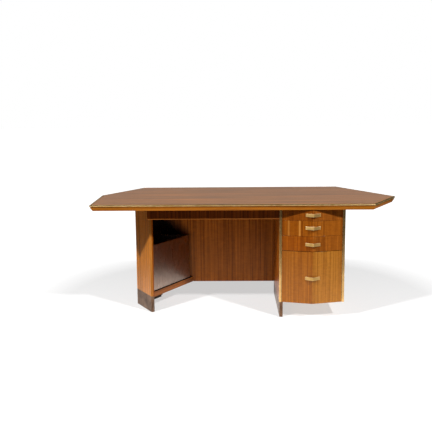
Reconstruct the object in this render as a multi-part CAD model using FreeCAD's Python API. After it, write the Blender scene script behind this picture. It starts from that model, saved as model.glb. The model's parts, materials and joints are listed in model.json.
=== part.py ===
# A captain's desk: an uneven six-sided top with brass edging, a half-hexagon left pedestal that holds
# a waste bin, and a right pedestal with four drawers behind shallow V-shaped fronts.
import FreeCAD, Part
import os
from math import atan, cos, radians, sin, tan

# Driving dimensions, in millimetres and degrees. The sitter is at -Y, +X is the sitter's right.
HEIGHT = 750.0
DEPTH = 886.0
FRONT_WIDTH = 1790.0
LEFT_SIDE = 466.0
TIP_SETBACK = 340.0
PLAN_ANGLE = 30.0

# The top: a core board, a hardwood lipping that leans inwards, and a brass edge let into its upper corner.
TOP_THICKNESS = 39.0
LIPPING_WIDTH = 36.0
LIPPING_LEAN = 15.0
BRASS_WIDTH = 12.0
BRASS_HEIGHT = 9.5
BRASS_CHAMFER = 3.5
BRASS_BEVEL = 1.0
BRASS_NOSE = 4.0
QUIRK_WIDTH = 2.5
QUIRK_DEPTH = 1.5
SHADOW_HEIGHT = 5.5
SHADOW_DEPTH = 4.0

# The left pedestal: half a hexagon in plan, open on the long side that faces the kneehole.
WING_INSET = 362.0
WING_SETBACK = 172.0
WING_SIDE = 252.0
WING_BOARD = 24.0
WING_LIPPING = 12.0
CORNER_FACET = 12.0
WING_FLOOR = 36.0
FOOT_BATTEN_WIDTH = 70.0
FOOT_BATTEN_HEIGHT = 16.0

# The waste bin of folded sheet metal, which slides out of the left pedestal.
BIN_HEIGHT = 311.0
BIN_SHEET = 2.0
BIN_HEM = 4.0
BIN_HEM_HEIGHT = 10.0
BIN_RECESS = 10.0
BIN_SIDE_GAP = 5.0
BIN_BACK_GAP = 10.0
BIN_FAR_GAP = 20.0
BIN_FLOOR_PLAY = 0.3

# The kneehole's boards and the battens that fasten boards to the top.
MODESTY_BOARD = 20.0
APRON_HEIGHT = 66.0
APRON_BOARD = 20.0
APRON_OVERHANG = 7.0
BATTEN = 24.0
BATTEN_END_GAP = 40.0

# The metal feet: troughs of bent plate under the pedestals' boards.
FOOT_HEIGHT = 100.0
WING_FOOT_HEIGHT = 108.0
FOOT_WIDTH = 24.0
FOOT_WALL = 3.0
PEDESTAL_FOOT_WIDTH = 22.0
PEDESTAL_FOOT_INSET = 3.0
FOOT_RETURN_END_GAP = 60.0

# The right pedestal's case.
PEDESTAL_INSET = 174.0
PEDESTAL_SETBACK = 72.0
PEDESTAL_WIDTH = 419.0
PEDESTAL_DEPTH = 600.0
SIDE_BOARD = 16.0
CASE_BOARD = 16.0
BACK_BOARD = 12.0
STRIP_THICKNESS = 4.0

# The drawer fronts: two slanting halves that meet in a blunt prow. From the top one down, they share the
# pedestal's height in these parts.
PROW = 50.0
FRONT_BOARD = 22.0
FRONT_SIDE_GAP = 2.0
FRONT_BACK_GAP = 2.0
REVEAL = 1.5
DEEP_REVEAL = 3.5
TOP_REVEAL = 4.0
FRONT_PARTS = [69.0, 100.0, 98.0, 342.0]

# The drawer boxes and the runners that carry them.
DRAWER_SIDE = 14.0
DRAWER_BACK = 12.0
DRAWER_BACK_GAP = 10.0
DRAWER_BACK_DROP = 6.0
DRAWER_BOTTOM = 6.0
BOTTOM_LIFT = 8.0
BOTTOM_GROOVE = 5.0
BOX_LIFT = 6.0
BOX_DROP = 12.0
CEILING_GAP = 4.0
SIDE_PLAY = 0.8
RUNNER_HEIGHT = 12.0
RUNNER_REACH = 6.0
RUNNER_PLAY = 0.3
RUNNER_FRONT_GAP = 40.0
GROOVE_STOP = 36.0

# The pulls: brass strap folded to a wide V, with a flat pad at each end. From the top one down, they sit
# this much above the middle of their fronts.
PULL_WIDTH = 94.0
PULL_HEIGHT = 20.0
PULL_STRAP = 4.0
PULL_PAD = 8.0
PULL_ANGLE = 34.0
PULL_RISES = [3.0, 5.0, -3.0, -2.5]

# Levels and lines that follow from the driving dimensions. The origin is on the floor, under the centre
# of the rectangle that the top fills.
SLANT = tan(radians(PLAN_ANGLE))
WIDTH = FRONT_WIDTH + TIP_SETBACK * SLANT
LEFT_X = -WIDTH / 2
FRONT_Y = -DEPTH / 2
UNDERSIDE = HEIGHT - TOP_THICKNESS
PEDESTAL_FRONT = FRONT_Y + PEDESTAL_SETBACK
PEDESTAL_REAR = PEDESTAL_FRONT + PEDESTAL_DEPTH
PEDESTAL_RIGHT = LEFT_X + FRONT_WIDTH - PEDESTAL_INSET
PEDESTAL_LEFT = PEDESTAL_RIGHT - PEDESTAL_WIDTH
CASE_LEFT = PEDESTAL_LEFT + SIDE_BOARD
CASE_RIGHT = PEDESTAL_RIGHT - SIDE_BOARD
CASE_FLOOR = FOOT_HEIGHT + CASE_BOARD
CASE_CEILING = UNDERSIDE - CASE_BOARD

os.makedirs("parts", exist_ok=True)


def save(name, shape):
    shape.exportStep("parts/" + name + ".step")


def prism(points, low, high):
    corners = [FreeCAD.Vector(x, y, low) for x, y in points]
    outline = Part.makePolygon(corners + corners[:1])
    return Part.Face(outline).extrude(FreeCAD.Vector(0, 0, high - low))


def block(left, right, front, rear, low, high):
    return prism([(left, front), (right, front), (right, rear), (left, rear)], low, high)


def through(start, end):
    """The line through two plan points, as a point and a unit direction."""
    dx, dy = end[0] - start[0], end[1] - start[1]
    length = (dx * dx + dy * dy) ** 0.5
    return start, (dx / length, dy / length)


def shifted(line, distance):
    """The line moved to the right of its direction."""
    (x, y), (dx, dy) = line
    return (x + dy * distance, y - dx * distance), (dx, dy)


def meet(one, other):
    """The plan point where two lines cross."""
    (ax, ay), (ux, uy) = one
    (bx, by), (vx, vy) = other
    along = ((bx - ax) * vy - (by - ay) * vx) / (ux * vy - uy * vx)
    return ax + ux * along, ay + uy * along


def corners(lines):
    """The corners of the closed outline whose sides lie on these lines, in order."""
    return [meet(line, following) for line, following in zip(lines, lines[1:] + lines[:1])]


# The top's outline, counter-clockwise from its front left corner.
right_dx = (DEPTH - TIP_SETBACK) * SLANT
left_dx = (DEPTH - LEFT_SIDE) * SLANT
outline = [
    (LEFT_X, FRONT_Y),
    (LEFT_X + FRONT_WIDTH, FRONT_Y),
    (-LEFT_X, FRONT_Y + TIP_SETBACK),
    (-LEFT_X - right_dx, -FRONT_Y),
    (LEFT_X + left_dx, -FRONT_Y),
    (LEFT_X, FRONT_Y + LEFT_SIDE),
]
EDGE_NAMES = ["front", "right_front", "right_rear", "rear", "left_rear", "left"]
edges = [through(start, end) for start, end in zip(outline, outline[1:] + outline[:1])]


def inset_outline(distance):
    inner = [shifted(edge, -distance) for edge in edges]
    return [meet(inner[i - 1], inner[i]) for i in range(len(inner))]


def edge_length(section, index):
    """One mitred length of a moulding. A section point is its distance in from the nose and its height."""
    (x, y), (dx, dy) = edges[index]
    wire = [FreeCAD.Vector(x - dy * inward, y + dx * inward, level) for inward, level in section]
    following = (index + 1) % len(outline)
    ends = [outline[index], outline[following]]
    run = ((ends[1][0] - ends[0][0]) ** 2 + (ends[1][1] - ends[0][1]) ** 2) ** 0.5
    spare = FreeCAD.Vector(dx, dy, 0) * (2 * LIPPING_WIDTH)
    wire = [point - spare for point in wire]
    bar = Part.Face(Part.makePolygon(wire + wire[:1])).extrude(FreeCAD.Vector(dx, dy, 0) * run + spare * 2)
    inner = inset_outline(LIPPING_WIDTH)
    mitre = prism(ends + [inner[following], inner[index]], UNDERSIDE, HEIGHT)
    return bar.common(mitre)


# The lipping's section runs down the core's edge and up the leaning face; the brass sits in its rebate.
rebate = HEIGHT - BRASS_HEIGHT
shadow = rebate - SHADOW_HEIGHT
quirk = BRASS_WIDTH + QUIRK_WIDTH
lipping_section = [
    (LIPPING_WIDTH, UNDERSIDE),
    (BRASS_NOSE + LIPPING_LEAN, UNDERSIDE),
    (BRASS_NOSE, shadow),
    (BRASS_NOSE + SHADOW_DEPTH, shadow),
    (BRASS_NOSE + SHADOW_DEPTH, rebate),
    (BRASS_WIDTH, rebate),
    (BRASS_WIDTH, HEIGHT - QUIRK_DEPTH),
    (quirk, HEIGHT - QUIRK_DEPTH),
    (quirk, HEIGHT),
    (LIPPING_WIDTH, HEIGHT),
]
brass_section = [
    (0, HEIGHT - BRASS_CHAMFER),
    (0, rebate + BRASS_BEVEL),
    (BRASS_BEVEL, rebate),
    (BRASS_WIDTH, rebate),
    (BRASS_WIDTH, HEIGHT),
    (BRASS_CHAMFER, HEIGHT),
]
save("top_core", prism(inset_outline(LIPPING_WIDTH), UNDERSIDE, HEIGHT))
for index, name in enumerate(EDGE_NAMES):
    save("lipping_" + name, edge_length(lipping_section, index))
    save("brass_edge_" + name, edge_length(brass_section, index))

# The left pedestal's plan, clockwise from the corner nearest the sitter: its lines' right side is inside.
side_dx = WING_SIDE * sin(radians(PLAN_ANGLE))
side_dy = WING_SIDE * cos(radians(PLAN_ANGLE))
near = (LEFT_X + WING_INSET, FRONT_Y + WING_SETBACK)
outer = (near[0] - side_dx, near[1] + side_dy)
rear = (near[0], near[1] + 2 * side_dy)
inner = (near[0] + 2 * side_dx, rear[1])
front_face = through(near, outer)
rear_face = through(outer, rear)
modesty_face = through(rear, inner)
knee_face = through(inner, near)
facet_y = near[1] + CORNER_FACET * cos(radians(PLAN_ANGLE))
facet_face = through((0, facet_y), (-1, facet_y))
front_inside = shifted(front_face, WING_BOARD)
rear_inside = shifted(rear_face, WING_BOARD)
lipping_joint = shifted(knee_face, WING_LIPPING)

# Boards of the left pedestal, mitred where the two outer faces meet.
mitre_line = through(outer, meet(front_inside, rear_inside))
front_panel = corners([front_face, mitre_line, front_inside, lipping_joint])
rear_panel = corners([rear_face, modesty_face, rear_inside, mitre_line])
corner_lipping = corners([front_face, lipping_joint, front_inside, knee_face, facet_face])
wing_floor = corners([front_inside, rear_inside, modesty_face, knee_face])
save("wing_front_panel", prism(front_panel, WING_FOOT_HEIGHT, UNDERSIDE))
save("wing_rear_panel", prism(rear_panel, WING_FOOT_HEIGHT, UNDERSIDE))
save("wing_corner_lipping", prism(corner_lipping, WING_FOOT_HEIGHT, UNDERSIDE))
save("wing_floor", prism(wing_floor, FOOT_HEIGHT, FOOT_HEIGHT + WING_FLOOR))

# The left foot follows the two outer faces and laps the floor board, which rests on a dark batten behind it.
foot_front_inside = shifted(front_face, FOOT_WIDTH)
foot_rear_inside = shifted(rear_face, FOOT_WIDTH)
foot_faces = [front_face, rear_face, modesty_face, foot_rear_inside, foot_front_inside, knee_face, facet_face]
pocket_faces = [
    shifted(front_face, FOOT_WALL),
    shifted(rear_face, FOOT_WALL),
    shifted(modesty_face, FOOT_WALL),
    shifted(foot_rear_inside, -FOOT_WALL),
    shifted(foot_front_inside, -FOOT_WALL),
    shifted(knee_face, FOOT_WALL),
    shifted(facet_face, FOOT_WALL),
]
foot = prism(corners(foot_faces), 0, WING_FOOT_HEIGHT)
save("wing_foot", foot.cut(prism(corners(pocket_faces), FOOT_WALL, WING_FOOT_HEIGHT)))
batten_inside = shifted(foot_front_inside, FOOT_BATTEN_WIDTH)
foot_batten = corners([foot_front_inside, foot_rear_inside, batten_inside, knee_face])
save("wing_foot_batten", prism(foot_batten, FOOT_HEIGHT - FOOT_BATTEN_HEIGHT, FOOT_HEIGHT))

# Battens inside the left pedestal, under the top.
batten_start = shifted(knee_face, BATTEN_END_GAP)
front_batten_inside = shifted(front_inside, BATTEN)
front_batten = corners([front_inside, rear_inside, front_batten_inside, batten_start])
rear_batten = corners([rear_inside, modesty_face, shifted(rear_inside, BATTEN), front_batten_inside])
wing_battens = [prism(plan, UNDERSIDE - BATTEN, UNDERSIDE) for plan in (front_batten, rear_batten)]
save("wing_battens", Part.makeCompound(wing_battens))

# The waste bin: a tray of folded sheet that tapers in plan, with a hemmed rim.
bin_faces = [
    shifted(front_inside, BIN_SIDE_GAP),
    shifted(rear_inside, BIN_BACK_GAP),
    shifted(modesty_face, BIN_FAR_GAP),
    shifted(knee_face, BIN_RECESS),
]
bin_low = FOOT_HEIGHT + WING_FLOOR + BIN_FLOOR_PLAY
bin_high = bin_low + BIN_HEIGHT
sheet_inside = corners([shifted(face, BIN_SHEET) for face in bin_faces])
hem_inside = corners([shifted(face, BIN_HEM) for face in bin_faces])
waste_bin = prism(corners(bin_faces), bin_low, bin_high)
waste_bin = waste_bin.cut(prism(sheet_inside, bin_low + BIN_SHEET, bin_high - BIN_HEM_HEIGHT))
save("waste_bin", waste_bin.cut(prism(hem_inside, bin_high - BIN_HEM_HEIGHT, bin_high)))

# The modesty panel closes the kneehole and the left pedestal's back; the apron hangs from the top.
modesty_front = rear[1]
apron_rear = PEDESTAL_FRONT + APRON_BOARD
apron_low = UNDERSIDE - APRON_HEIGHT
batten_low = UNDERSIDE - BATTEN
save("modesty_panel", block(rear[0], PEDESTAL_LEFT, modesty_front, modesty_front + MODESTY_BOARD,
                            FOOT_HEIGHT, UNDERSIDE))
save("modesty_batten", block(inner[0] + BATTEN_END_GAP, PEDESTAL_LEFT, modesty_front - BATTEN, modesty_front,
                             batten_low, UNDERSIDE))
apron_left = near[0] - APRON_OVERHANG
save("apron", block(apron_left, PEDESTAL_LEFT, PEDESTAL_FRONT, apron_rear, apron_low, UNDERSIDE))
save("apron_batten", block(near[0] + BATTEN_END_GAP, PEDESTAL_LEFT, apron_rear, apron_rear + BATTEN,
                           batten_low, UNDERSIDE))

# The right pedestal's case: two sides, back, floor and ceiling, with brass strips on the sides' front edges.
strip_rear = PEDESTAL_FRONT + STRIP_THICKNESS
case_rear = PEDESTAL_REAR - BACK_BOARD
half_front = (CASE_RIGHT - CASE_LEFT) / 2 - FRONT_SIDE_GAP
front_angle = atan(PROW / half_front)
front_depth = FRONT_BOARD / cos(front_angle)
case_front = PEDESTAL_FRONT + front_depth + FRONT_BACK_GAP
for name, left in (("inner", PEDESTAL_LEFT), ("outer", CASE_RIGHT)):
    right = left + SIDE_BOARD
    save("pedestal_" + name + "_side", block(left, right, strip_rear, PEDESTAL_REAR, FOOT_HEIGHT, UNDERSIDE))
    save("pedestal_strip_" + name, block(left, right, PEDESTAL_FRONT, strip_rear, FOOT_HEIGHT, UNDERSIDE))
save("pedestal_back", block(CASE_LEFT, CASE_RIGHT, case_rear, PEDESTAL_REAR, FOOT_HEIGHT, UNDERSIDE))
save("pedestal_floor", block(CASE_LEFT, CASE_RIGHT, case_front, case_rear, FOOT_HEIGHT, CASE_FLOOR))
save("pedestal_ceiling", block(CASE_LEFT, CASE_RIGHT, case_front, case_rear, CASE_CEILING, UNDERSIDE))

# The right foot is a trough under the inner side, with a return along the rear that the front view hides.
foot_outside = PEDESTAL_LEFT + PEDESTAL_FOOT_INSET
foot_inside = foot_outside + PEDESTAL_FOOT_WIDTH
return_rear = PEDESTAL_REAR - PEDESTAL_FOOT_INSET
return_front = return_rear - PEDESTAL_FOOT_WIDTH
return_end = PEDESTAL_RIGHT - FOOT_RETURN_END_GAP


def pedestal_foot(wall, low, high):
    """The L-shaped trough's outline, drawn in by a wall thickness."""
    plan = [
        (foot_outside + wall, PEDESTAL_FRONT + wall),
        (foot_inside - wall, PEDESTAL_FRONT + wall),
        (foot_inside - wall, return_front + wall),
        (return_end - wall, return_front + wall),
        (return_end - wall, return_rear - wall),
        (foot_outside + wall, return_rear - wall),
    ]
    return prism(plan, low, high)


save("pedestal_foot", pedestal_foot(0, 0, FOOT_HEIGHT).cut(pedestal_foot(FOOT_WALL, FOOT_WALL, FOOT_HEIGHT)))

# Plan lines of the drawer fronts: how far the face stands back from the prow at a distance from its crease.
crease = (CASE_LEFT + CASE_RIGHT) / 2
prow_front = PEDESTAL_FRONT - PROW
front_slope = PROW / half_front


def front_inside_y(x):
    return prow_front + front_depth + abs(x - crease) * front_slope


def v_plan(reach, near_y, far_y):
    """A V-shaped band about the crease, from one depth behind the prow to another."""
    drop = reach * front_slope
    return [
        (crease - reach, near_y + drop),
        (crease, near_y),
        (crease + reach, near_y + drop),
        (crease + reach, far_y + drop),
        (crease, far_y),
        (crease - reach, far_y + drop),
    ]


def strap_pull(middle):
    """A folded strap: pads on the two slanting faces, arms that rise to a rounded fold at the crease."""
    reach = PULL_WIDTH / 2
    knee = reach - PULL_PAD
    rise = tan(radians(PULL_ANGLE))
    pad = PULL_STRAP / cos(front_angle)
    arm = PULL_STRAP / cos(radians(PULL_ANGLE))
    bend = knee + (arm - pad) / (rise - front_slope)
    back_of_fold = knee * (front_slope - rise)
    right_half = [
        (0, back_of_fold - arm),
        (bend, bend * front_slope - pad),
        (reach, reach * front_slope - pad),
        (reach, reach * front_slope),
        (knee, knee * front_slope),
        (0, back_of_fold),
    ]
    left_half = [(-x, y) for x, y in reversed(right_half[1:-1])]
    plan = [(crease + x, prow_front + y) for x, y in right_half + left_half]
    strap = prism(plan, middle - PULL_HEIGHT / 2, middle + PULL_HEIGHT / 2)
    fold = prow_front + back_of_fold - arm
    fold_edges = [edge for edge in strap.Edges if edge.BoundBox.YMax < fold + PULL_STRAP / 10]
    return strap.makeFillet(PULL_STRAP, fold_edges)


# Drawers from the top down, between these levels.
levels = [UNDERSIDE - TOP_REVEAL]
for part in FRONT_PARTS:
    share = part / sum(FRONT_PARTS)
    levels.append(levels[-1] - share * (UNDERSIDE - TOP_REVEAL - FOOT_HEIGHT))
reveals = [REVEAL] * len(levels)
reveals[-2] = DEEP_REVEAL
box_rear = case_rear - DRAWER_BACK_GAP
box_left = CASE_LEFT + SIDE_PLAY
box_right = CASE_RIGHT - SIDE_PLAY
groove_depth = RUNNER_REACH + RUNNER_PLAY
runner_front = case_front + RUNNER_FRONT_GAP
groove_front = case_front + GROOVE_STOP
runners = {"inner": [], "outer": []}
for number in range(1, len(levels)):
    drawer = "drawer_%d_" % number
    front_high = levels[number - 1] - reveals[number - 1] / 2
    front_low = levels[number] + reveals[number] / 2
    box_low = max(front_low, CASE_FLOOR) + BOX_LIFT
    box_high = min(front_high - BOX_DROP, CASE_CEILING - CEILING_GAP)

    # The bottom panel is let into grooves in the sides and the front, and passes under the back.
    panel_low = box_low + BOTTOM_LIFT
    panel_high = panel_low + DRAWER_BOTTOM
    panel_left = box_left + DRAWER_SIDE - BOTTOM_GROOVE
    panel_right = box_right - DRAWER_SIDE + BOTTOM_GROOVE
    panel_plan = [
        (panel_left, front_inside_y(panel_left) - BOTTOM_GROOVE),
        (crease, front_inside_y(crease) - BOTTOM_GROOVE),
        (panel_right, front_inside_y(panel_right) - BOTTOM_GROOVE),
        (panel_right, box_rear),
        (panel_left, box_rear),
    ]
    panel = prism(panel_plan, panel_low, panel_high)
    save(drawer + "bottom", panel)

    front_plan = v_plan(half_front, prow_front, prow_front + front_depth)
    save(drawer + "front", prism(front_plan, front_low, front_high).cut(panel))

    # Each side butts on the slanting front, and has a stopped groove that rides on a runner.
    runner_low = (box_low + box_high - RUNNER_HEIGHT) / 2
    runner_high = runner_low + RUNNER_HEIGHT
    hands = [("left", CASE_LEFT, box_left, 1), ("right", CASE_RIGHT, box_right, -1)]
    for name, wall, side_out, into in hands:
        side_in = side_out + into * DRAWER_SIDE
        side_plan = [
            (side_out, front_inside_y(side_out)),
            (side_in, front_inside_y(side_in)),
            (side_in, box_rear),
            (side_out, box_rear),
        ]
        groove_in = side_out + into * groove_depth
        groove = block(min(wall, groove_in), max(wall, groove_in), groove_front, box_rear,
                       runner_low - RUNNER_PLAY, runner_high + RUNNER_PLAY)
        save(drawer + name + "_side", prism(side_plan, box_low, box_high).cut(panel).cut(groove))
        runner_in = side_out + into * RUNNER_REACH
        runner = block(min(wall, runner_in), max(wall, runner_in), runner_front, case_rear,
                       runner_low, runner_high)
        runners["inner" if name == "left" else "outer"].append(runner)

    back_left = box_left + DRAWER_SIDE
    back_right = box_right - DRAWER_SIDE
    save(drawer + "back", block(back_left, back_right, box_rear - DRAWER_BACK, box_rear,
                                panel_high, box_high - DRAWER_BACK_DROP))
    pull_level = (front_low + front_high) / 2 + PULL_RISES[number - 1]
    save(drawer + "pull", strap_pull(pull_level))

for name, strips in runners.items():
    save("runners_" + name, Part.makeCompound(strips))
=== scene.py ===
import bmesh
import bpy
import json
from math import cos, pi, radians, sin
from mathutils import Matrix, Vector


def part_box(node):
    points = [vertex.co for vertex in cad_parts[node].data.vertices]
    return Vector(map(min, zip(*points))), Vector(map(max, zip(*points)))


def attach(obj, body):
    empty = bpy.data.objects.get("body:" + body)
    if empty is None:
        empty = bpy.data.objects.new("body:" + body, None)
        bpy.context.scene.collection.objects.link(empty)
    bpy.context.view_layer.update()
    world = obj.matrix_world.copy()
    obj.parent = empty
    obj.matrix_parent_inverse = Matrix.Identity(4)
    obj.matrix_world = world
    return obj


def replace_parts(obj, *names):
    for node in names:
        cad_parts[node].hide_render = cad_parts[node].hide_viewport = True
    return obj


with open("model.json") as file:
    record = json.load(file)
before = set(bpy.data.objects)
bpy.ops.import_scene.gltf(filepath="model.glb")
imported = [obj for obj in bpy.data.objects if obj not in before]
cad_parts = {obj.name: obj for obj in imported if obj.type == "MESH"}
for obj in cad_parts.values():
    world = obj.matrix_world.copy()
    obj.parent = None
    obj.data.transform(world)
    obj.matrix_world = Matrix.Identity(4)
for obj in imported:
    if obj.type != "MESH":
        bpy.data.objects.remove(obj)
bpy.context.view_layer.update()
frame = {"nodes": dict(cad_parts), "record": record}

# The feet: two troughs bent from 3 mm plate, one under each pedestal. They have a brown patina over
# brushed metal, and their arrises are rubbed a little brighter.
FOOT_ARRIS = 0.0012
FOOT_BRUSH = (6, 6, 700)
PATINA_DARK = (0.070, 0.036, 0.0205, 1)
PATINA_LIGHT = (0.176, 0.096, 0.0555, 1)
PATINA_RUBBED = (0.330, 0.240, 0.170, 1)
WORN_PATCHES = (0.35, 0.65)
STROKE_NOISE = (0.3, 0.7)
BLOTCH_NOISE = (0.35, 0.7)
BRUSH_SHADE = (0.86, 1.10)
BRUSH_GLOSS = (-0.05, 0.05)
WELD_GAP = 1e-5
FLAT_ANGLE, HARD_ANGLE = radians(1), radians(20)
# A face looks one way where the cosine of its normal's angle to that way is over this.
FACING = 0.9

body_of = {node: body for body, nodes in frame["record"]["behaviour"]["bodies"].items() for node in nodes}


def place(tree, kind, inputs, **settings):
    """Adds a node; each input takes a value or the socket that feeds it."""
    made = tree.nodes.new(kind)
    for name, value in settings.items():
        setattr(made, name, value)
    for name, value in inputs.items():
        if isinstance(value, bpy.types.NodeSocket):
            tree.links.new(value, made.inputs[name])
        else:
            made.inputs[name].default_value = value
    return made


def mixed(tree, amount, one, other, blend_type="MIX"):
    """Mixes two colours by an amount."""
    settings = {"data_type": "RGBA", "blend_type": blend_type, "clamp_factor": True}
    return place(tree, "ShaderNodeMix", {0: amount, 6: one, 7: other}, **settings).outputs[2]


def maths(tree, operation, one, other):
    """One sum on two values."""
    return place(tree, "ShaderNodeMath", {0: one, 1: other}, operation=operation).outputs[0]


def between(tree, value, low, high, new_low=0.0, new_high=1.0):
    """Stretches a value from one range to another, and stops at the ends."""
    inputs = {"Value": value, "From Min": low, "From Max": high, "To Min": new_low, "To Max": new_high}
    return place(tree, "ShaderNodeMapRange", inputs, clamp=True).outputs["Result"]


def shader_group(name, inputs, outputs):
    """Starts a shader node group, and gives it with its input and output nodes."""
    group = bpy.data.node_groups.new(name, "ShaderNodeTree")
    for socket, kind, value in inputs:
        group.interface.new_socket(socket, in_out="INPUT", socket_type=kind).default_value = value
    for socket in outputs:
        group.interface.new_socket(socket, in_out="OUTPUT", socket_type="NodeSocketFloat")
    return group, group.nodes.new("NodeGroupInput"), group.nodes.new("NodeGroupOutput")


worn_edges, edges_in, edges_out = shader_group(
    "worn_edges",
    [("Vector", "NodeSocketVector", (0, 0, 0)), ("Patch Scale", "NodeSocketFloat", 60.0)],
    ["Worn"],
)
edge = place(worn_edges, "ShaderNodeAttribute", {}, attribute_name="worn")
patch_inputs = {
    "Vector": edges_in.outputs["Vector"],
    "Scale": edges_in.outputs["Patch Scale"],
    "Detail": 4.0,
}
patches = place(worn_edges, "ShaderNodeTexNoise", patch_inputs)
broken = between(worn_edges, patches.outputs["Fac"], *WORN_PATCHES)
worn = maths(worn_edges, "MULTIPLY", edge.outputs["Fac"], broken)
worn_edges.links.new(worn, edges_out.inputs["Worn"])

brushed_metal, metal_in, metal_out = shader_group(
    "brushed_metal",
    [
        ("Vector", "NodeSocketVector", (0, 0, 0)),
        ("Brush Scale", "NodeSocketVector", (1, 1, 1)),
        ("Patina Scale", "NodeSocketFloat", 14.0),
    ],
    ["Brushing", "Patina"],
)
stretch_inputs = {0: metal_in.outputs["Vector"], 1: metal_in.outputs["Brush Scale"]}
stretched = place(brushed_metal, "ShaderNodeVectorMath", stretch_inputs, operation="MULTIPLY")
stroke_inputs = {"Vector": stretched.outputs[0], "Scale": 1.0, "Detail": 5.0}
strokes = place(brushed_metal, "ShaderNodeTexNoise", stroke_inputs)
blotch_inputs = {
    "Vector": metal_in.outputs["Vector"],
    "Scale": metal_in.outputs["Patina Scale"],
    "Detail": 6.0,
    "Roughness": 0.62,
}
blotches = place(brushed_metal, "ShaderNodeTexNoise", blotch_inputs)
brushed = between(brushed_metal, strokes.outputs["Fac"], *STROKE_NOISE)
brushed_metal.links.new(brushed, metal_out.inputs["Brushing"])
patina = between(brushed_metal, blotches.outputs["Fac"], *BLOTCH_NOISE)
brushed_metal.links.new(patina, metal_out.inputs["Patina"])


def material(name):
    """A new node material: its tree, its Principled shader and its Object coordinates."""
    made = bpy.data.materials.new(name)
    made.use_nodes = True
    tree = made.node_tree
    coordinates = place(tree, "ShaderNodeTexCoord", {})
    return made, tree, tree.nodes["Principled BSDF"], coordinates.outputs["Object"]


def metal(name, brush_scale, dark, light, rubbed, rough, smooth, metallic):
    """Brushed sheet metal with a blotched patina and brighter arrises."""
    made, tree, shader, position = material(name)
    brush_inputs = {"Vector": position, "Brush Scale": brush_scale}
    surface = place(tree, "ShaderNodeGroup", brush_inputs, node_tree=brushed_metal)
    arris = place(tree, "ShaderNodeGroup", {"Vector": position}, node_tree=worn_edges)
    toned = mixed(tree, surface.outputs["Patina"], dark, light)
    brushing = between(tree, surface.outputs["Brushing"], 0, 1, *BRUSH_SHADE)
    toned = mixed(tree, 1.0, toned, brushing, "MULTIPLY")
    toned = mixed(tree, arris.outputs["Worn"], toned, rubbed)
    tree.links.new(toned, shader.inputs["Base Color"])
    roughness = between(tree, surface.outputs["Patina"], 0, 1, rough, smooth)
    streaky = between(tree, surface.outputs["Brushing"], 0, 1, *BRUSH_GLOSS)
    tree.links.new(maths(tree, "ADD", roughness, streaky), shader.inputs["Roughness"])
    bump_inputs = {"Height": surface.outputs["Brushing"], "Strength": 0.12, "Distance": 0.0003}
    bump = place(tree, "ShaderNodeBump", bump_inputs)
    tree.links.new(bump.outputs["Normal"], shader.inputs["Normal"])
    shader.inputs["Metallic"].default_value = metallic
    return made


def part_touching(solid):
    """Parts two solids that meet along one edge, so that each is rounded by itself."""
    seams = [line for line in solid.edges if len(line.link_faces) > 2]
    waiting = [seam.link_faces[0] for seam in seams[:1]]
    reached = set()
    while waiting:
        face = waiting.pop()
        reached.add(face)
        for line in face.edges:
            if line.is_manifold:
                waiting.extend(other for other in line.link_faces if other not in reached)
    if reached:
        bmesh.ops.split(solid, geom=list(reached))


def eased(node, radius):
    """A copy of a solid with its hard edges rounded; the rounded faces carry the attribute worn."""
    solid = bmesh.new()
    solid.from_mesh(frame["nodes"][node].data)
    worn_faces = solid.faces.layers.float.new("worn")
    bmesh.ops.remove_doubles(solid, verts=solid.verts, dist=WELD_GAP)
    part_touching(solid)
    bmesh.ops.dissolve_limit(solid, angle_limit=FLAT_ANGLE, verts=solid.verts, edges=solid.edges)
    hard = [line for line in solid.edges if line.is_manifold and line.calc_face_angle() > HARD_ANGLE]
    rounded = bmesh.ops.bevel(
        solid, geom=hard, offset=radius, segments=2, profile=0.5, affect="EDGES", clamp_overlap=True
    )
    for face in rounded["faces"]:
        face[worn_faces] = 1
        face.smooth = True
    mesh = bpy.data.meshes.new(node + "_finished")
    solid.to_mesh(mesh)
    solid.free()
    return mesh


def show(name, mesh, body):
    """Puts a finished mesh in the scene, on its body."""
    piece = bpy.data.objects.new(name, mesh)
    bpy.context.scene.collection.objects.link(piece)
    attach(piece, body)
    return piece


def finish_node(node, finish, radius, second=None, facing=None):
    """Shows a solid with eased arrises; the faces that look one way may take a second finish."""
    mesh = eased(node, radius)
    mesh.materials.append(finish)
    if second:
        mesh.materials.append(second)
        for face in mesh.polygons:
            face.material_index = int(face.normal.dot(facing) > FACING)
    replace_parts(show(node + "_finished", mesh, body_of[node]), node)
    return mesh


patinated = metal(
    "patinated_metal", FOOT_BRUSH, PATINA_DARK, PATINA_LIGHT, PATINA_RUBBED,
    rough=0.46, smooth=0.34, metallic=0.8,
)
for foot in ("wing_foot", "pedestal_foot"):
    finish_node(foot, patinated, FOOT_ARRIS)

# The left pedestal's boards: ribbon-striped mahogany veneer with the stripes upright, on boards that are
# mitred at the outer corner and painted near black inside, for the deep shade in the niche. A pale lipping
# covers the near corner. The floor board's top is painted black for the shade under the bin, and the board
# rests on a black batten behind the foot.
BOARD_ARRIS = 0.0008
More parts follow.
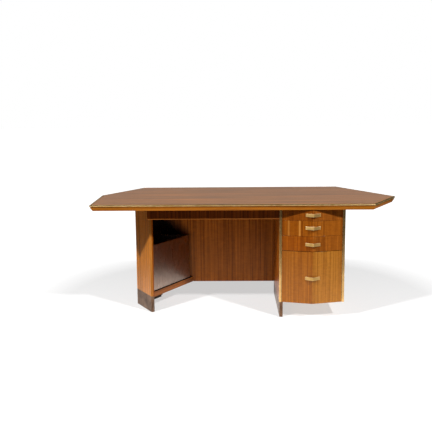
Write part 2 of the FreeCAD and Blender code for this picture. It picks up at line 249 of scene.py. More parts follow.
# These boards' outer faces take a lighter copy of the veneer used elsewhere, painted light for the raking
# lamp light on them.
WING_LIT_DARK = (0.248, 0.078, 0.006, 1)
WING_LIT_LIGHT = (0.485, 0.166, 0.018, 1)
DEEP_DARK = (0.145, 0.032, 0.0016, 1)
DEEP_LIGHT = (0.285, 0.076, 0.0040, 1)
PALE_DARK = (0.230, 0.078, 0.009, 1)
PALE_LIGHT = (0.330, 0.128, 0.021, 1)
SHELF_DARK = (0.130, 0.034, 0.004, 1)
SHELF_LIGHT = (0.210, 0.062, 0.009, 1)
BLACK_DARK = (0.006, 0.004, 0.003, 1)
BLACK_LIGHT = (0.016, 0.010, 0.007, 1)
POLISH_TINT = (1.0, 0.80, 0.60, 1)
UPRIGHT = Vector((0, 0, 1))
WING_TURN = radians(30)
KNEE_ALONG = Vector((sin(WING_TURN), cos(WING_TURN), 0))
KNEE_FACING = Vector((cos(WING_TURN), -sin(WING_TURN), 0))
REAR_INSIDE = KNEE_FACING
FRONT_INSIDE = Vector((cos(WING_TURN), sin(WING_TURN), 0))
MIDDLE_NOISE = (0.25, 0.75)
RIBBON_NOISE = (0.36, 0.64)
PORE_NOISE = (0.62, 0.74)
# A pore's width and length are shares of a fibre's.
PORE_WIDTH, PORE_LENGTH = 0.5, 0.2
FIBRE_SWING, PORE_SHADE = 0.12, 0.62
MOTTLE_WIDTH, MOTTLE_LENGTH, DRIFT_SIZE = 0.030, 0.011, 0.35
RUBBED_SHADE, GLOSS_SWING = 1.15, 0.06
PIN_BLEND, PIN_END_BLEND = 0.01, 0.0002
BLACKEST, CREASE_BLEND, REFLECTION_CORE = 0.03, 0.001, 3

wood_figure, figure_in, figure_out = shader_group(
    "wood_figure",
    [
        ("Vector", "NodeSocketVector", (0, 0, 0)),
        ("Ribbon Width", "NodeSocketFloat", 0.012),
        ("Ribbon Length", "NodeSocketFloat", 0.9),
        ("Fibre Width", "NodeSocketFloat", 0.0016),
        ("Fibre Length", "NodeSocketFloat", 0.07),
        ("Mottle", "NodeSocketFloat", 0.05),
        ("Drift", "NodeSocketFloat", 0.08),
    ],
    ["Ribbon", "Tone", "Relief", "Gloss"],
)


def grain_noise(width, length, detail):
    """Noise stretched along the grain, which runs along the group's Z."""
    size = place(wood_figure, "ShaderNodeCombineXYZ", {"X": width, "Y": width, "Z": length})
    divide_inputs = {0: figure_in.outputs["Vector"], 1: size.outputs[0]}
    scaled = place(wood_figure, "ShaderNodeVectorMath", divide_inputs, operation="DIVIDE")
    noise_inputs = {"Vector": scaled.outputs[0], "Scale": 1.0, "Detail": detail}
    return place(wood_figure, "ShaderNodeTexNoise", noise_inputs).outputs["Fac"]


def swing(noise, amount):
    """Turns a noise into a factor that swings about one."""
    span = maths(wood_figure, "MULTIPLY", between(wood_figure, noise, *MIDDLE_NOISE, -1, 1), amount)
    return maths(wood_figure, "ADD", span, 1.0)


ribbons = grain_noise(figure_in.outputs["Ribbon Width"], figure_in.outputs["Ribbon Length"], detail=3.0)
fibres = grain_noise(figure_in.outputs["Fibre Width"], figure_in.outputs["Fibre Length"], detail=3.0)
pore_width = maths(wood_figure, "MULTIPLY", figure_in.outputs["Fibre Width"], PORE_WIDTH)
pore_length = maths(wood_figure, "MULTIPLY", figure_in.outputs["Fibre Length"], PORE_LENGTH)
pores = between(wood_figure, grain_noise(pore_width, pore_length, detail=1.0), *PORE_NOISE)
pore_tone = between(wood_figure, pores, 0, 1, 1.0, PORE_SHADE)
tone = maths(wood_figure, "MULTIPLY", swing(fibres, FIBRE_SWING), pore_tone)
mottle = swing(grain_noise(MOTTLE_WIDTH, MOTTLE_LENGTH, detail=2.0), figure_in.outputs["Mottle"])
drift = swing(grain_noise(DRIFT_SIZE, DRIFT_SIZE, detail=2.0), figure_in.outputs["Drift"])
tone = maths(wood_figure, "MULTIPLY", maths(wood_figure, "MULTIPLY", tone, mottle), drift)
fibre_mask = between(wood_figure, fibres, *MIDDLE_NOISE)
figure_results = {
    "Ribbon": between(wood_figure, ribbons, *RIBBON_NOISE),
    "Tone": tone,
    "Relief": maths(wood_figure, "SUBTRACT", fibre_mask, pores),
    "Gloss": maths(wood_figure, "MULTIPLY", fibre_mask, mottle),
}
for socket_name, socket in figure_results.items():
    wood_figure.links.new(socket, figure_out.inputs[socket_name])


def dovetail_pins(tree, position, dovetails):
    """Marks the pins' end grain at both ends of a board. Dovetails give the two ends, the pitch and
    length of the tails, and half their width at the end and at the root as shares of the pitch."""
    parts = place(tree, "ShaderNodeSeparateXYZ", {"Vector": position}).outputs
    to_front = maths(tree, "SUBTRACT", parts["Y"], dovetails["front"])
    to_rear = maths(tree, "SUBTRACT", dovetails["rear"], parts["Y"])
    to_end = maths(tree, "MINIMUM", to_front, to_rear)
    rows = maths(tree, "FRACT", maths(tree, "DIVIDE", parts["Z"], dovetails["pitch"]), 0.0)
    off_middle = maths(tree, "ABSOLUTE", maths(tree, "SUBTRACT", rows, 0.5), 0.0)
    length = dovetails["length"]
    half_tail = between(tree, to_end, 0.0, length, dovetails["at_end"], dovetails["at_root"])
    past_tail = maths(tree, "SUBTRACT", off_middle, half_tail)
    pins = between(tree, past_tail, -PIN_BLEND, PIN_BLEND)
    jointed = between(tree, to_end, length - PIN_END_BLEND, length, 1.0, 0.0)
    return maths(tree, "MULTIPLY", pins, jointed)


def painted_fading_shade(tree, position, shade_fade):
    """Fades painted black shade out across a board. It gives where the shade is black and where it is
    gone, and the level from which it also fades upwards."""
    parts = place(tree, "ShaderNodeSeparateXYZ", {"Vector": position}).outputs
    inward = maths(tree, "ADD", parts["X"], maths(tree, "MAXIMUM", parts["Z"], shade_fade["level"]))
    return between(tree, inward, shade_fade["black"], shade_fade["unshaded"], BLACKEST, 1.0)


def mirrored_leaf(tree, position, leaf):
    """Mirrors a veneer about a crease: its new place, the painted light on its two halves and its painted
    reflections. A leaf gives the crease, its own place in the log, the painted light on its two halves, the
    reflections' colour and the reflections."""
    centre_inputs = {"Vector": position, "Location": (-leaf["crease"], 0, 0)}
    centred = place(tree, "ShaderNodeMapping", centre_inputs).outputs[0]
    across = place(tree, "ShaderNodeSeparateXYZ", {"Vector": centred}).outputs["X"]
    on_right = between(tree, across, -CREASE_BLEND, CREASE_BLEND)
    shade = mixed(tree, on_right, leaf["left_painted_light"], leaf["right_painted_light"])
    reflections = []
    for reflection_place, half_width, strength in leaf["reflections"]:
        off = maths(tree, "ABSOLUTE", maths(tree, "SUBTRACT", across, reflection_place), 0.0)
        reflections.append(between(tree, off, half_width / REFLECTION_CORE, half_width, strength, 0.0))
    matched = place(tree, "ShaderNodeVectorMath", {0: centred}, operation="ABSOLUTE").outputs[0]
    shift_inputs = {"Vector": matched, "Location": (leaf["shift"], leaf["shift"], 0)}
    return place(tree, "ShaderNodeMapping", shift_inputs).outputs[0], shade, reflections


def wood(name, along, dark, light, figure, roughness, specular, leaf=None, shade_fade=None, dovetails=None):
    """Satin wood with its grain along a direction. It may be a mirrored leaf with painted light and
    reflections, carry painted black shade that fades, or show the pins of dovetails."""
    made, tree, shader, position = material(name)
    shade = None
    reflections = []
    if dovetails:
        pins = dovetail_pins(tree, position, dovetails)
    if shade_fade:
        shade = painted_fading_shade(tree, position, shade_fade)
    if leaf:
        position, shade, reflections = mirrored_leaf(tree, position, leaf)
    turn = along.rotation_difference(UPRIGHT).to_euler()
    turned = place(tree, "ShaderNodeMapping", {"Vector": position, "Rotation": turn}).outputs[0]
    grain = place(tree, "ShaderNodeGroup", {"Vector": turned, **figure}, node_tree=wood_figure)
    arris = place(tree, "ShaderNodeGroup", {"Vector": position}, node_tree=worn_edges)
    toned = mixed(tree, grain.outputs["Ribbon"], dark, light)
    toned = mixed(tree, 1.0, toned, grain.outputs["Tone"], "MULTIPLY")
    if shade:
        toned = mixed(tree, 1.0, toned, shade, "MULTIPLY")
    for reflection in reflections:
        toned = mixed(tree, reflection, toned, leaf["reflection_colour"])
    if dovetails:
        toned = mixed(tree, pins, toned, dovetails["end_grain"])
    rubbed = between(tree, arris.outputs["Worn"], 0, 1, 1.0, RUBBED_SHADE)
    tree.links.new(mixed(tree, 1.0, toned, rubbed, "MULTIPLY"), shader.inputs["Base Color"])
    dull, bright = roughness + GLOSS_SWING, roughness - GLOSS_SWING
    polish = between(tree, grain.outputs["Gloss"], 0, 1, dull, bright)
    tree.links.new(polish, shader.inputs["Roughness"])
    bump_inputs = {"Height": grain.outputs["Relief"], "Strength": 0.15, "Distance": 0.0003}
    bump = place(tree, "ShaderNodeBump", bump_inputs)
    tree.links.new(bump.outputs["Normal"], shader.inputs["Normal"])
    shader.inputs["Specular IOR Level"].default_value = specular
    shader.inputs["Specular Tint"].default_value = POLISH_TINT
    return made


FINE_RIBBON = {"Ribbon Width": 0.011, "Ribbon Length": 0.9}
PLAIN_FIGURE = {"Ribbon Width": 0.014, "Ribbon Length": 0.5, "Mottle": 0.02}
wing_lit_veneer = wood(
    "wing_lit_veneer", UPRIGHT, WING_LIT_DARK, WING_LIT_LIGHT, FINE_RIBBON, roughness=0.30, specular=0.35
)
deep_veneer = wood(
    "deep_veneer", UPRIGHT, DEEP_DARK, DEEP_LIGHT, FINE_RIBBON, roughness=0.30, specular=0.09
)
pale_upright = wood(
    "pale_upright", UPRIGHT, PALE_DARK, PALE_LIGHT, PLAIN_FIGURE, roughness=0.35, specular=0.25
)
floor_veneer = wood(
    "floor_veneer", KNEE_ALONG, SHELF_DARK, SHELF_LIGHT, PLAIN_FIGURE, roughness=0.40, specular=0.2
)
# Painted shade: the boards' inside faces and the floor board's top take this near black; the batten is black
# all over.
black_and_painted_shade = wood(
    "black_and_painted_shade", KNEE_ALONG, BLACK_DARK, BLACK_LIGHT, PLAIN_FIGURE, roughness=0.6, specular=0.06
)
finish_node("wing_front_panel", wing_lit_veneer, BOARD_ARRIS, black_and_painted_shade, FRONT_INSIDE)
finish_node("wing_rear_panel", wing_lit_veneer, BOARD_ARRIS, black_and_painted_shade, REAR_INSIDE)
finish_node("wing_corner_lipping", pale_upright, BOARD_ARRIS, deep_veneer, KNEE_FACING)
finish_node("wing_floor", floor_veneer, BOARD_ARRIS, black_and_painted_shade, UPRIGHT)
finish_node("wing_foot_batten", black_and_painted_shade, BOARD_ARRIS)

# The waste bin: 2 mm sheet metal folded to the pedestal's plan, with a hemmed rim. It has a polished
# brown patina, and slides out over the floor board.
BIN_ARRIS = 0.0006
BIN_BRUSH = (1300, 1300, 8)
BIN_DARK = (0.322, 0.240, 0.198, 1)
BIN_LIGHT = (0.390, 0.300, 0.254, 1)

bin_metal = metal(
    "bin_metal", BIN_BRUSH, BIN_DARK, BIN_LIGHT, PATINA_RUBBED, rough=0.30, smooth=0.26, metallic=1.0
)
finish_node("waste_bin", bin_metal, BIN_ARRIS)

# The kneehole: a modesty panel at the back and an apron rail at the front, both in the ribbon veneer. The
# rail is painted dark for the shade under the top, all but a band along its lower edge, which is painted
# lighter for the lamp light that reaches it; the panel's front is painted darker inside the left pedestal,
# for the shade there. Square battens behind them are fixed up into the top with slotted brass screws.
LIT_BAND_HEIGHT = 0.0045
SCREW_RADIUS, SCREW_PROUD = 0.0042, 0.0009
SLOT_WIDTH, SLOT_DEPTH = 0.0011, 0.0008
HEAD_SIDES, HEAD_RIM = 20, 0.82
CUTTER_LENGTH, CUTTER_DEPTH = 2.4, 2.0
SCREW_BRUSH = (300, 300, 300)
SCREW_SPACING, SCREW_END = 0.18, 0.035
MODESTY_DARK = (0.160, 0.039, 0.0032, 1)
MODESTY_LIGHT = (0.330, 0.095, 0.0108, 1)
APRON_SHADED_DARK = (0.058, 0.0105, 0.0007, 1)
APRON_SHADED_LIGHT = (0.118, 0.0255, 0.0016, 1)
LIT_BAND_DARK = (0.160, 0.047, 0.0065, 1)
LIT_BAND_LIGHT = (0.230, 0.077, 0.0150, 1)
BATTEN_DARK = (0.330, 0.190, 0.085, 1)
BATTEN_LIGHT = (0.480, 0.300, 0.150, 1)
SCREW_DARK = (0.420, 0.260, 0.090, 1)
SCREW_LIGHT = (0.720, 0.480, 0.190, 1)
ALONG_X = Vector((1, 0, 0))
ALONG_Y = Vector((0, 1, 0))

# Painted shade: the modesty panel's front darkens to near black at its left end, inside the left pedestal,
# for the shade in the niche; higher up the darkening draws further left.
niche_painted_shade = {"level": 0.45, "black": -0.03, "unshaded": 0.09}
MOTTLED_RIBBON = {"Ribbon Width": 0.008, "Ribbon Length": 0.7, "Mottle": 0.12}
modesty_veneer = wood(
    "modesty_veneer", UPRIGHT, MODESTY_DARK, MODESTY_LIGHT, MOTTLED_RIBBON, roughness=0.20, specular=0.13
)
modesty_painted_shade = wood(
    "modesty_painted_shade", UPRIGHT, MODESTY_DARK, MODESTY_LIGHT, MOTTLED_RIBBON,
    roughness=0.20, specular=0.13, shade_fade=niche_painted_shade,
)
apron_painted_shade_veneer = wood(
    "apron_painted_shade_veneer", UPRIGHT, APRON_SHADED_DARK, APRON_SHADED_LIGHT, FINE_RIBBON, roughness=0.42, specular=0.08
)
lit_band_wood = wood(
    "apron_painted_lit_band", ALONG_X, LIT_BAND_DARK, LIT_BAND_LIGHT, PLAIN_FIGURE, roughness=0.42, specular=0.08
)
finish_node("modesty_panel", modesty_veneer, BOARD_ARRIS, modesty_painted_shade, -ALONG_Y)
apron_mesh = finish_node("apron", apron_painted_shade_veneer, BOARD_ARRIS)
# Painted light: the band along the apron's lower edge keeps a lighter tone, for the lamp light that reaches
# there below the top's shadow.
apron_mesh.materials.append(lit_band_wood)
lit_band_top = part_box("apron")[0].z + LIT_BAND_HEIGHT
banded = bmesh.new()
banded.from_mesh(apron_mesh)
everything = banded.verts[:] + banded.edges[:] + banded.faces[:]
bmesh.ops.bisect_plane(banded, geom=everything, plane_co=(0, 0, lit_band_top), plane_no=UPRIGHT)
for face in banded.faces:
    face.material_index = int(face.calc_center_median().z < lit_band_top)
banded.to_mesh(apron_mesh)
banded.free()

screws = bpy.data.node_groups.new("slotted_screws", "GeometryNodeTree")
for socket, kind in (
    ("Points", "NodeSocketGeometry"),
    ("Head Radius", "NodeSocketFloat"),
    ("Proud", "NodeSocketFloat"),
    ("Slot Width", "NodeSocketFloat"),
    ("Slot Depth", "NodeSocketFloat"),
    ("Seed", "NodeSocketInt"),
    ("Material", "NodeSocketMaterial"),
):
    screws.interface.new_socket(socket, in_out="INPUT", socket_type=kind)
screws.interface.new_socket("Screws", in_out="OUTPUT", socket_type="NodeSocketGeometry")
wanted_screw = screws.nodes.new("NodeGroupInput").outputs
screws_out = screws.nodes.new("NodeGroupOutput")
rim = maths(screws, "MULTIPLY", wanted_screw["Head Radius"], HEAD_RIM)
head_inputs = {
    "Vertices": HEAD_SIDES,
    "Radius Top": rim,
    "Radius Bottom": wanted_screw["Head Radius"],
    "Depth": wanted_screw["Proud"],
}
head = place(screws, "GeometryNodeMeshCone", head_inputs).outputs["Mesh"]
# The slot's cutter is longer than the head is wide, and half of it stands over the head.
cutter_sides = {
    "X": maths(screws, "MULTIPLY", wanted_screw["Head Radius"], CUTTER_LENGTH),
    "Y": wanted_screw["Slot Width"],
    "Z": maths(screws, "MULTIPLY", wanted_screw["Slot Depth"], CUTTER_DEPTH),
}
cutter_size = place(screws, "ShaderNodeCombineXYZ", cutter_sides).outputs[0]
cutter = place(screws, "GeometryNodeMeshCube", {"Size": cutter_size}).outputs["Mesh"]
lift = place(screws, "ShaderNodeCombineXYZ", {"Z": wanted_screw["Proud"]}).outputs[0]
raised_cutter = place(screws, "GeometryNodeTransform", {"Geometry": cutter, "Translation": lift}).outputs[0]
slotted = place(screws, "GeometryNodeMeshBoolean", {"Mesh 1": head, "Mesh 2": raised_cutter}).outputs["Mesh"]
way_out = place(screws, "GeometryNodeInputNamedAttribute", {"Name": "facing"}, data_type="FLOAT_VECTOR")
align_inputs = {"Vector": way_out.outputs["Attribute"]}
upright = place(screws, "FunctionNodeAlignRotationToVector", align_inputs, axis="Z")
# Input 3 is the greatest value of a random float: each slot stops anywhere in half a turn.
driven_inputs = {3: pi, "Seed": wanted_screw["Seed"]}
driven = place(screws, "FunctionNodeRandomValue", driven_inputs, data_type="FLOAT")
spin = place(screws, "FunctionNodeAxisAngleToRotation", {"Axis": (0, 0, 1), "Angle": driven.outputs[1]})
turn_inputs = {"Rotation": upright.outputs[0], "Rotate By": spin.outputs[0]}
turned_head = place(screws, "FunctionNodeRotateRotation", turn_inputs, rotation_space="LOCAL")
spread_inputs = {
    "Points": wanted_screw["Points"],
    "Instance": slotted,
    "Rotation": turned_head.outputs[0],
}
spread = place(screws, "GeometryNodeInstanceOnPoints", spread_inputs)
solid_screws = place(screws, "GeometryNodeRealizeInstances", {"Geometry": spread.outputs[0]})
material_inputs = {"Geometry": solid_screws.outputs[0], "Material": wanted_screw["Material"]}
finished_screws = place(screws, "GeometryNodeSetMaterial", material_inputs)
screws.links.new(finished_screws.outputs[0], screws_out.inputs["Screws"])

screw_brass = metal(
    "screw_brass", SCREW_BRUSH, SCREW_DARK, SCREW_LIGHT, SCREW_LIGHT, rough=0.42, smooth=0.32, metallic=0.95
)


def drive_screws(name, body, places, seed):
    """Sets a slotted screw at each place, its head looking the way that is given with it."""
    points = bpy.data.meshes.new(name + "_places")
    points.from_pydata([spot for spot, way in places], [], [])
    ways = points.attributes.new("facing", "FLOAT_VECTOR", "POINT")
    for index, (spot, way) in enumerate(places):
        ways.data[index].vector = way
    holder = bpy.data.objects.new(name + "_places", points)
    bpy.context.scene.collection.objects.link(holder)
    modifier = holder.modifiers.new("screws", "NODES")
    modifier.node_group = screws
    wanted = {
        "Head Radius": SCREW_RADIUS,
        "Proud": SCREW_PROUD,
        "Slot Width": SLOT_WIDTH,
        "Slot Depth": SLOT_DEPTH,
        "Seed": seed,
        "Material": screw_brass,
    }
    for socket in screws.interface.items_tree:
        if socket.name in wanted:
            modifier[socket.identifier] = wanted[socket.name]
    evaluated = holder.evaluated_get(bpy.context.evaluated_depsgraph_get())
    mesh = bpy.data.meshes.new_from_object(evaluated)
    holder.modifiers.remove(modifier)
    bpy.data.objects.remove(holder)
    show(name, mesh, body)


desk_screws = []
plain_along_x = wood(
    "plain_hardwood_x", ALONG_X, BATTEN_DARK, BATTEN_LIGHT, PLAIN_FIGURE, roughness=0.55, specular=0.3
)
for batten in ("modesty_batten", "apron_batten", "wing_battens"):
    batten_mesh = finish_node(batten, plain_along_x, BOARD_ARRIS)
    for face in batten_mesh.polygons:
        corners = [batten_mesh.vertices[index].co for index in face.vertices]
        sides = [other - one for one, other in zip(corners, corners[1:] + corners[:1])]
        longest = max(sides, key=lambda side: side.length)
        if face.normal.z > -FACING or longest.length < SCREW_SPACING:
            continue
        reach = longest.length / 2 - SCREW_END
        steps = round(longest.length / SCREW_SPACING)
        for step in range(steps + 1):
            along = longest.normalized() * reach * (2 * step / steps - 1)
            desk_screws.append((face.center + along, -UPRIGHT))

# The right pedestal's case: two veneered sides on the foot, with back, floor and ceiling boards between
# them, screwed through the back. Brass strips cover the sides' front edges, and hardwood runners are
# fixed inside.
STRIP_ARRIS = 0.0006
THIN_ARRIS = BOARD_ARRIS / 2
STRIP_BRUSH = (400, 400, 5)
BACK_SCREWS = 4
BRASS_DARK = (0.535, 0.325, 0.120, 1)
BRASS_LIGHT = (0.800, 0.510, 0.212, 1)
BRASS_RUBBED = (0.920, 0.700, 0.400, 1)

for board in ("pedestal_inner_side", "pedestal_outer_side", "pedestal_back"):
    finish_node(board, deep_veneer, BOARD_ARRIS)
plain_along_y = wood(
    "plain_hardwood_y", ALONG_Y, BATTEN_DARK, BATTEN_LIGHT, PLAIN_FIGURE, roughness=0.55, specular=0.3
)
for board in ("pedestal_floor", "pedestal_ceiling", "runners_inner", "runners_outer"):
    finish_node(board, plain_along_y, THIN_ARRIS)
upright_brass = metal(
    "upright_brass", STRIP_BRUSH, BRASS_DARK, BRASS_LIGHT, BRASS_RUBBED, rough=0.29, smooth=0.21, metallic=1.0
)
for strip in ("pedestal_strip_inner", "pedestal_strip_outer"):
    finish_node(strip, upright_brass, STRIP_ARRIS)
back_low, back_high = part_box("pedestal_back")
for board in ("pedestal_floor", "pedestal_ceiling"):
    board_low, board_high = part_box(board)
    for step in range(BACK_SCREWS):
        share = step / (BACK_SCREWS - 1)
        across = back_low.x + SCREW_END + share * (back_high.x - back_low.x - 2 * SCREW_END)
        spot = Vector((across, back_high.y, (board_low.z + board_high.z) / 2))
        desk_screws.append((spot, ALONG_Y))
drive_screws("desk_screws", "desk", desk_screws, 1)

# The drawers: dovetailed hardwood boxes with a thin bottom let into grooves, hung on the runners. Each
# V-shaped front is veneered in two leaves that mirror each other at the crease, and carries a pull of
# folded brass strap, screwed on from inside.
FRONT_ARRIS = 0.0005
PULL_ARRIS = 0.0008
PULL_PAD = 0.008
BACK_FACING, BACK_AREA = 0.8, 0.004
LEVEL_BRUSH = (5, 400, 400)
TAIL_PITCH, TAIL_LENGTH = 0.026, 0.015
TAIL_AT_END, TAIL_AT_ROOT = 0.40, 0.31
PULL_DARK = (0.510, 0.315, 0.098, 1)
PULL_LIGHT = (0.780, 0.505, 0.185, 1)
LEAF_SHIFT = 0.61
# Painted light on the fronts' halves: the fronts lighten towards the floor, for the shade under the top, and
# the right halves are lighter and paler, for the light they catch from the right lamp.
LEFT_PAINTED_LIGHT = {1: (0.80, 0.70, 0.9, 1), 2: (0.90, 0.82, 0.8, 1), 3: (0.95, 0.80, 0.7, 1), 4: (1, 0.85, 0.7, 1)}
RIGHT_PAINTED_LIGHT = {1: (1, 1, 2, 1), 2: (1.06, 1.06, 1.6, 1), 3: (1, 0.98, 1.6, 1), 4: (1.25, 1.30, 1.7, 1)}
LOWEST = 4
# Painted shade and light: the upper fronts take a darker copy of the veneer, for the shade under the top, and
# the lowest front a lighter, paler one, for the floor's bounce on it.
SHADED_FRONT_FINISH = {"dark": (0.145, 0.038, 0.0017, 1), "light": (0.235, 0.069, 0.0037, 1), "specular": 0.27}
LIT_LOWEST_FINISH = {"dark": (0.172, 0.055, 0.0035, 1), "light": (0.266, 0.098, 0.0085, 1), "specular": 0.40}
REFLECTION_PALE = (0.400, 0.165, 0.028, 1)
PIN_GRAIN = (0.170, 0.085, 0.032, 1)
# Painted reflections of bright upright things on the second front: each has its place from the crease,
# half its width and its strength.
PAINTED_REFLECTIONS = {2: [(-0.151, 0.008, 0.42), (-0.083, 0.008, 0.75)]}
FRONT_FIGURE = {"Ribbon Width": 0.010, "Ribbon Length": 0.9, "Mottle": 0.11}

front_low, front_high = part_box("drawer_1_front")
crease = (front_low.x + front_high.x) / 2
side_low, side_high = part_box("drawer_1_left_side")
side_dovetails = {
    "front": side_low.y,
    "rear": side_high.y,
    "pitch": TAIL_PITCH,
    "length": TAIL_LENGTH,
    "at_end": TAIL_AT_END,
    "at_root": TAIL_AT_ROOT,
    "end_grain": PIN_GRAIN,
}
jointed_side = wood(
    "jointed_side", ALONG_Y, BATTEN_DARK, BATTEN_LIGHT, PLAIN_FIGURE,
    roughness=0.55, specular=0.3, dovetails=side_dovetails,
)
pull_brass = metal(
    "pull_brass", LEVEL_BRUSH, PULL_DARK, PULL_LIGHT, BRASS_RUBBED, rough=0.50, smooth=0.42, metallic=0.95
)
for number in range(1, LOWEST + 1):
    drawer = "drawer_%d_" % number
    leaf = {
        "crease": crease,
        "shift": number * LEAF_SHIFT,
        "left_painted_light": LEFT_PAINTED_LIGHT[number],
        "right_painted_light": RIGHT_PAINTED_LIGHT[number],
        "reflection_colour": REFLECTION_PALE,
        "reflections": PAINTED_REFLECTIONS.get(number, []),
    }
    finish = LIT_LOWEST_FINISH if number == LOWEST else SHADED_FRONT_FINISH
    leaf_veneer = wood(drawer + "veneer", UPRIGHT, figure=FRONT_FIGURE, roughness=0.19, leaf=leaf, **finish)
    front_mesh = finish_node(drawer + "front", leaf_veneer, FRONT_ARRIS)
    finish_node(drawer + "left_side", plain_along_y, BOARD_ARRIS, jointed_side, -ALONG_X)
    finish_node(drawer + "right_side", plain_along_y, BOARD_ARRIS, jointed_side, ALONG_X)
    finish_node(drawer + "back", plain_along_x, BOARD_ARRIS)
    finish_node(drawer + "bottom", plain_along_x, THIN_ARRIS)
    finish_node(drawer + "pull", pull_brass, PULL_ARRIS)
    pull_low, pull_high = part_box(drawer + "pull")
    height = (pull_low.z + pull_high.z) / 2
    pull_screws = []
    for face in front_mesh.polygons:
        if face.normal.y > BACK_FACING and face.area > BACK_AREA:
            across = pull_low.x + PULL_PAD / 2 if face.center.x < crease else pull_high.x - PULL_PAD / 2
            off = Vector((across, 0, height)) - face.center
            depth = face.center.y - (off.x * face.normal.x + off.z * face.normal.z) / face.normal.y
            pull_screws.append((Vector((across, depth, height)), face.normal.copy()))
    drive_screws(drawer + "screws", drawer[:-1], pull_screws, number)

# The top: a veneered board with its grain along the desk, framed by six mitred lippings that lean inwards.
# The veneer runs on over the lippings to a brass edge, let into their upper corner over a fine shadow line.
LIPPING_ARRIS = 0.0004
BRASS_ARRIS = 0.0006
CHAMFER_FACING = 0.5
DIMMED_SPECULAR = 0.08
FIELD_DARK = (0.126, 0.048, 0.0052, 1)
FIELD_LIGHT = (0.268, 0.090, 0.0112, 1)
# The brass edge's top faces take a darker copy of the brass and its chamfer a darker one still, painted dark
# for the dim surroundings they reflect; the nose keeps the pulls' brass.
DIM_TOP_DARK = (0.098, 0.060, 0.016, 1)
DIM_TOP_LIGHT = (0.165, 0.100, 0.028, 1)
DIM_CHAMFER_DARK = (0.034, 0.026, 0.010, 1)
DIM_CHAMFER_LIGHT = (0.060, 0.046, 0.019, 1)
LIPPING_DARK = (0.315, 0.092, 0.0035, 1)
LIPPING_LIGHT = (0.425, 0.140, 0.0065, 1)
FIELD_FIGURE = {"Ribbon Width": 0.030, "Ribbon Length": 0.9, "Mottle": 0.04, "Drift": 0.12}
EDGE_TURNS = {"front": 0, "right_front": 60, "right_rear": 120, "rear": 0, "left_rear": 60, "left": 90}

brass_painted_dim = metal(
    "brass_painted_dim", LEVEL_BRUSH, DIM_TOP_DARK, DIM_TOP_LIGHT, DIM_TOP_LIGHT, rough=0.62, smooth=0.52, metallic=0.1
)
brass_painted_dimmer = metal(
    "brass_painted_dimmer", LEVEL_BRUSH, DIM_CHAMFER_DARK, DIM_CHAMFER_LIGHT, DIM_TOP_DARK, rough=0.62, smooth=0.52, metallic=0.1
)
for dimmed in (brass_painted_dim, brass_painted_dimmer):
    dimmed_shader = dimmed.node_tree.nodes["Principled BSDF"]
    dimmed_shader.inputs["Specular IOR Level"].default_value = DIMMED_SPECULAR
field_veneer = wood(
    "field_veneer", ALONG_X, FIELD_DARK, FIELD_LIGHT, FIELD_FIGURE, roughness=0.40, specular=0.40
)
frame["nodes"]["top_core"].data.materials.clear()
frame["nodes"]["top_core"].data.materials.append(field_veneer)
for edge_name, turn in EDGE_TURNS.items():
    edge_along = Vector((cos(radians(turn)), sin(radians(turn)), 0))
    lipping = wood(
        "lipping_" + edge_name, edge_along, LIPPING_DARK, LIPPING_LIGHT, PLAIN_FIGURE,
        roughness=0.40, specular=0.08,
    )
    finish_node("lipping_" + edge_name, lipping, LIPPING_ARRIS, field_veneer, UPRIGHT)
    brass_mesh = finish_node("brass_edge_" + edge_name, pull_brass, BRASS_ARRIS, brass_painted_dim, UPRIGHT)
    brass_mesh.materials.append(brass_painted_dimmer)
    # The chamfer's faces take the darkest copy, painted dark for the dim surroundings they reflect.
    chamfer_finish = len(brass_mesh.materials) - 1
    for face in brass_mesh.polygons:
        if CHAMFER_FACING < face.normal.z < FACING:
            face.material_index = chamfer_finish

# The studio: a pale floor that fades into a white surround, and two round lamps in front of the desk, one
# to each side, that throw soft-edged shadows back under it. The floor further in front and the surround
# there are screened off from the desk, so only the camera sees them white.
FLOOR_SIZE = 60.0
FLOOR_DROP = 0.0002
FLOOR_SEEN = (0.36, 0.36, 0.36, 1)
FLOOR_SCREENED = (0.03, 0.03, 0.03, 1)
FLOOR_LIGHTING = (0.70, 0.66, 0.60, 1)
# Painted light: the floor glows though it is no lamp. Near the desk it lights the desk from below, and to the
# camera it glows so that the shadows on it stay pale and fade to white away from the desk.
SEEN_GLOW, HIDDEN_GLOW = 0.55, 0.60
GLOW_START, GLOW_END = 0.5, 1.7
FADE_START, FADE_END = 1.3, 2.0
LIGHTING_REACH, SCREENED_FROM = 1.1, 2.7
BACK_LIGHT, FRONT_LIGHT, CEILING_LIGHT = 0.9, 0.06, 0.06
BACK_SPREAD = (0.3, 0.85)
CEILING_SPREAD = (0.05, 0.6)
WHITE = (1, 1, 1, 1)
LAMPS = {"left_lamp": ((-3.0, -3.0, 3.723), 300), "right_lamp": ((2.8, -3.2, 3.963), 310)}
LAMP_SIZE = 0.28
LAMP_TARGET = Vector((0, -0.1, 0.4))

half = FLOOR_SIZE / 2
floor_mesh = bpy.data.meshes.new("studio_floor")
floor_corners = [(x * half, y * half, -FLOOR_DROP) for x, y in ((-1, -1), (1, -1), (1, 1), (-1, 1))]
floor_mesh.from_pydata(floor_corners, [], [(0, 1, 2, 3)])
floor_paint, tree, shader, position = material("floor_paint")
to_camera = place(tree, "ShaderNodeLightPath", {}).outputs["Is Camera Ray"]
distance = place(tree, "ShaderNodeVectorMath", {0: position}, operation="LENGTH").outputs["Value"]
unscreened = between(tree, distance, LIGHTING_REACH, SCREENED_FROM, 1.0, 0.0)
lighting = mixed(tree, unscreened, FLOOR_SCREENED, FLOOR_LIGHTING)
tree.links.new(mixed(tree, to_camera, lighting, FLOOR_SEEN), shader.inputs["Base Color"])
seen_glow = between(tree, distance, FADE_START, FADE_END, SEEN_GLOW, 1.0)
hidden_glow = between(tree, distance, GLOW_START, GLOW_END, HIDDEN_GLOW, 0.0)
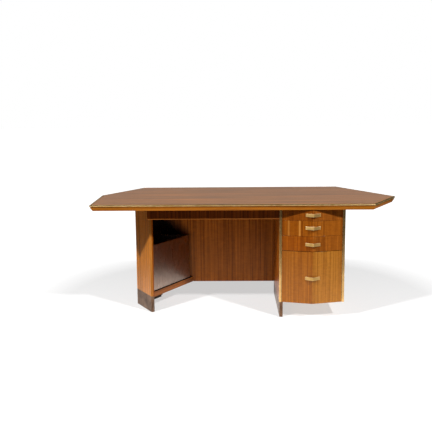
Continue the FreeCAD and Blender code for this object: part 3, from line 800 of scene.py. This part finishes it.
glow = place(tree, "ShaderNodeMix", {0: to_camera, 2: hidden_glow, 3: seen_glow}, data_type="FLOAT")
shader.inputs["Emission Color"].default_value = WHITE
tree.links.new(glow.outputs[0], shader.inputs["Emission Strength"])
shader.inputs["Roughness"].default_value = 0.7
shader.inputs["Specular IOR Level"].default_value = 0.1
below = place(tree, "ShaderNodeNewGeometry", {}).outputs["Backfacing"]
clear = place(tree, "ShaderNodeBsdfTransparent", {}).outputs[0]
one_sided = place(tree, "ShaderNodeMixShader", {0: below, 1: shader.outputs[0], 2: clear})
tree.links.new(one_sided.outputs[0], tree.nodes["Material Output"].inputs["Surface"])
floor_mesh.materials.append(floor_paint)
floor = bpy.data.objects.new("studio_floor", floor_mesh)
bpy.context.scene.collection.objects.link(floor)

surround = bpy.data.worlds.new("white_surround")
surround.use_nodes = True
sky = surround.node_tree
sky_seen = place(sky, "ShaderNodeLightPath", {}).outputs["Is Camera Ray"]
sky_direction = place(sky, "ShaderNodeTexCoord", {}).outputs["Generated"]
outward = place(sky, "ShaderNodeSeparateXYZ", {"Vector": sky_direction}).outputs
level = between(sky, outward["Y"], *BACK_SPREAD, FRONT_LIGHT, BACK_LIGHT)
raised = between(sky, outward["Z"], *CEILING_SPREAD)
dome = place(sky, "ShaderNodeMix", {0: raised, 2: level, 3: CEILING_LIGHT}, data_type="FLOAT")
sky_strength = place(sky, "ShaderNodeMix", {0: sky_seen, 2: dome.outputs[0], 3: 1.0}, data_type="FLOAT")
sky.nodes["Background"].inputs["Color"].default_value = WHITE
sky.links.new(sky_strength.outputs[0], sky.nodes["Background"].inputs["Strength"])
bpy.context.scene.world = surround

for lamp_name, (lamp_place, power) in LAMPS.items():
    lamp = bpy.data.lights.new(lamp_name, "AREA")
    lamp.shape = "DISK"
    lamp.size = LAMP_SIZE
    lamp.energy = power
    stand = bpy.data.objects.new(lamp_name, lamp)
    stand.location = lamp_place
    stand.rotation_euler = (LAMP_TARGET - Vector(lamp_place)).to_track_quat("-Z", "Y").to_euler()
    bpy.context.scene.collection.objects.link(stand)

# The camera stands before the desk, a little left of its middle and above it, as the photograph was taken.
# It looks down a little, and has a slight roll.
IMAGE_SIZE = 432
SENSOR_WIDTH, CLIP_END = 36, 200
FOCAL_PIXELS = 706.905
CAMERA_PLACE = (-0.101365, -4.801675, 1.404180)
YAW, PITCH, ROLL = 0.021974, 0.164866, -0.008881

level_right = Vector((cos(YAW), sin(YAW), 0))
forward = Vector((-sin(YAW) * cos(PITCH), cos(YAW) * cos(PITCH), -sin(PITCH)))
level_up = level_right.cross(forward)
camera_right = cos(ROLL) * level_right + sin(ROLL) * level_up
camera_up = cos(ROLL) * level_up - sin(ROLL) * level_right
lens = bpy.data.cameras.new("camera")
lens.sensor_width = SENSOR_WIDTH
lens.lens = FOCAL_PIXELS / IMAGE_SIZE * SENSOR_WIDTH
lens.clip_end = CLIP_END
camera = bpy.data.objects.new("camera", lens)
camera.matrix_world = Matrix.Translation(CAMERA_PLACE) @ Matrix(
    (camera_right, camera_up, -forward)
).transposed().to_4x4()
bpy.context.scene.collection.objects.link(camera)
bpy.context.scene.camera = camera
bpy.context.scene.view_settings.view_transform = "Standard"
